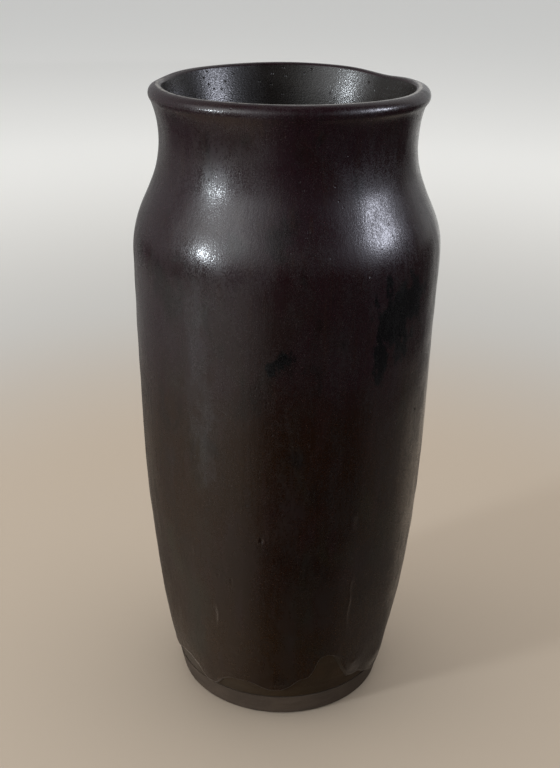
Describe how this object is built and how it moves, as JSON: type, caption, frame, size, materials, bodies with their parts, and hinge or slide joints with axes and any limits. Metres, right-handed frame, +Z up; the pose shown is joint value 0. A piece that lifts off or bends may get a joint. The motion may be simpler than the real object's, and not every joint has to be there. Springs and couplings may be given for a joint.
{
  "type": "black clay pot",
  "caption": "Tall black clay pot with a narrowed neck and rolled lip, a thin dark coat over its clay wall, and a bare foot.",
  "frame": {"origin": "centre of the foot, on the surface the pot stands on", "axes": "+Z up along the pot's axis, out of the mouth; -Y is the front, the side with the coat's highest scallop just right of centre"},
  "size_m": [0.13, 0.13, 0.28],
  "materials": {
    "bare_clay": "unglazed grey-brown fired clay, matt",
    "body_clay": "unglazed dark fired clay, matt",
    "outer_coat": "burnished brown-black coat, satin with a fine graphite sparkle",
    "inner_coat": "brown-black coat, satin, pitted"
  },
  "bodies": {
    "root": {"base_disc": "bare_clay", "foot_ring": "bare_clay", "lower_wall": "body_clay", "middle_wall": "body_clay", "shoulder": "body_clay", "neck_collar": "body_clay", "rim_roll": "body_clay", "outer_coat": "outer_coat", "inner_coat": "inner_coat"}
  },
  "joints": []
}
